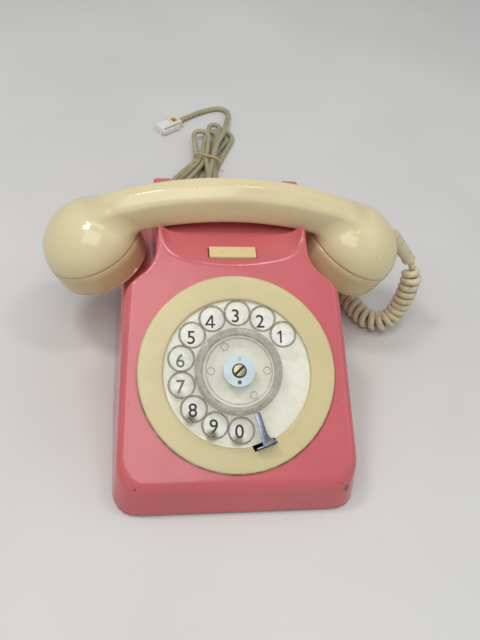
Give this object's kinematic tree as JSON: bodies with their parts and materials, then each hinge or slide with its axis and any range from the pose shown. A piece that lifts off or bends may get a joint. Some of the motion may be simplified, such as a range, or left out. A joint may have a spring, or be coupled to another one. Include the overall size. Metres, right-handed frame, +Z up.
{
  "type": "rotary desk telephone",
  "caption": "Desk telephone with a sloping rotary dial, a lift-off handset lying across a cradle, a curly handset cord and a line cord tied in a hank with a plug.",
  "frame": {"origin": "on the table under the middle of the telephone, cords apart", "axes": "+Z up, the user sits at -Y, +X to the user's right"},
  "size_m": [0.2465, 0.4112, 0.1178],
  "materials": {
    "case_pink": "glossy ABS, slightly worn",
    "handset_ivory": "glossy ABS, aged",
    "ring_ivory": "satin, yellowed",
    "number_white": "printed plate",
    "clear_plastic": "clear acrylic",
    "label_silver": "pale blue-silver foil",
    "brass": "aged",
    "steel": "polished",
    "plated_steel": "zinc plated",
    "base_black": "stove enamel",
    "rubber_black": "matte",
    "contact_block": "phenolic",
    "board_green": "lacquered",
    "winding": "lacquered wire",
    "capacitor_can": "satin",
    "gong_brass": "polished",
    "capsule_grey": "satin",
    "white_plastic": "glossy",
    "curly_cream": "satin PVC",
    "line_grey": "satin PVC",
    "band_tan": "matte"
  },
  "bodies": {
    "telephone": {"case": "case_pink", "base_plate": "base_black", "base_screws": "plated_steel", "rubber_feet": "rubber_black", "dial_ring": "ring_ivory", "number_plate": "number_white", "finger_stop": "steel", "dial_frame": "plated_steel", "return_spring": "steel", "governor_cup": "brass", "pulse_contacts": "contact_block", "dial_bracket": "plated_steel", "button_contacts": "contact_block", "hook_bracket": "plated_steel", "hook_contacts": "contact_block", "circuit_board": "board_green", "speech_transformer": "winding", "capacitor": "capacitor_can", "terminal_block": "contact_block", "ringer_frame": "plated_steel", "ringer_coils": "winding", "gongs": "gong_brass", "gong_screws": "plated_steel", "cord_grommets": "rubber_black", "curly_cord": "curly_cream", "line_cord_lead": "line_grey", "line_cord_hank": "line_grey", "line_cord_tail": "line_grey", "cord_band": "band_tan", "plug": "white_plastic"},
    "handset": {"handset_body": "handset_ivory", "ear_cap": "handset_ivory", "mouth_cap": "handset_ivory", "receiver_capsule": "capsule_grey", "transmitter_capsule": "capsule_grey", "handset_grip_sleeve": "curly_cream"},
    "left plunger": {"plunger_left": "white_plastic"},
    "right plunger": {"plunger_right": "white_plastic"},
    "hook lever": {"hook_lever": "plated_steel"},
    "dial rotor": {"finger_plate": "clear_plastic", "hub_disc": "label_silver", "hub_screw": "brass", "dial_spindle": "brass", "main_wheel": "brass"},
    "dial pinion": {"pinion_shaft": "brass"},
    "dial governor": {"governor_rotor": "brass"},
    "press button": {"press_button": "handset_ivory"},
    "bell hammer": {"bell_hammer": "plated_steel"}
  },
  "joints": [
    {"name": "handset_lift", "type": "slide", "parent": "telephone", "child": "handset", "axis": [0, 0, 1], "range_m": [0, 0.08], "deforming": ["curly_cord"]},
    {"name": "left_plunger_slide", "type": "slide", "parent": "telephone", "child": "left plunger", "axis": [0, 0, 1], "range_m": [0, 0.006]},
    {"name": "right_plunger_slide", "type": "slide", "parent": "telephone", "child": "right plunger", "axis": [0, 0, 1], "range_m": [0, 0.006]},
    {"name": "hook_lever_tilt", "type": "hinge", "parent": "telephone", "child": "hook lever", "pos_m": [0, 0.0605, 0.056], "axis": [-1, 0, 0], "range_deg": [0, 22.2]},
    {"name": "dial_turn", "type": "hinge", "parent": "telephone", "child": "dial rotor", "pos_m": [0, -0.04677, 0.05589], "axis": [0, -0.5075, 0.8616], "range_deg": [-325, 0], "stiffness_Nm_per_rad": 0.006, "springref_deg": 114.59},
    {"name": "pinion_turn", "type": "hinge", "parent": "telephone", "child": "dial pinion", "pos_m": [-0.0205, -0.04677, 0.05589], "axis": [0, -0.5075, 0.8616], "range_deg": [0, 1300]},
    {"name": "governor_turn", "type": "hinge", "parent": "telephone", "child": "dial governor", "pos_m": [-0.032, -0.03733, 0.03986], "axis": [0, 0.8616, 0.5075], "range_deg": [0, 3900]},
    {"name": "button_press", "type": "slide", "parent": "telephone", "child": "press button", "axis": [0, 0, -1], "range_m": [0, 0.002], "stiffness_N_per_m": 400, "springref_m": -0.0015},
    {"name": "hammer_swing", "type": "hinge", "parent": "telephone", "child": "bell hammer", "pos_m": [0, 0.06, 0.03], "axis": [0, 0, 1], "range_deg": [-3, 3], "stiffness_Nm_per_rad": 0.02}
  ],
  "couplings": [
    {"joint": "left_plunger_slide", "follows": "handset_lift", "ratio": 0.075},
    {"joint": "right_plunger_slide", "follows": "handset_lift", "ratio": 0.075},
    {"joint": "hook_lever_tilt", "follows": "handset_lift", "rad_per_m": 4.7997},
    {"joint": "pinion_turn", "follows": "dial_turn", "ratio": -4},
    {"joint": "governor_turn", "follows": "dial_turn", "ratio": -12}
  ]
}
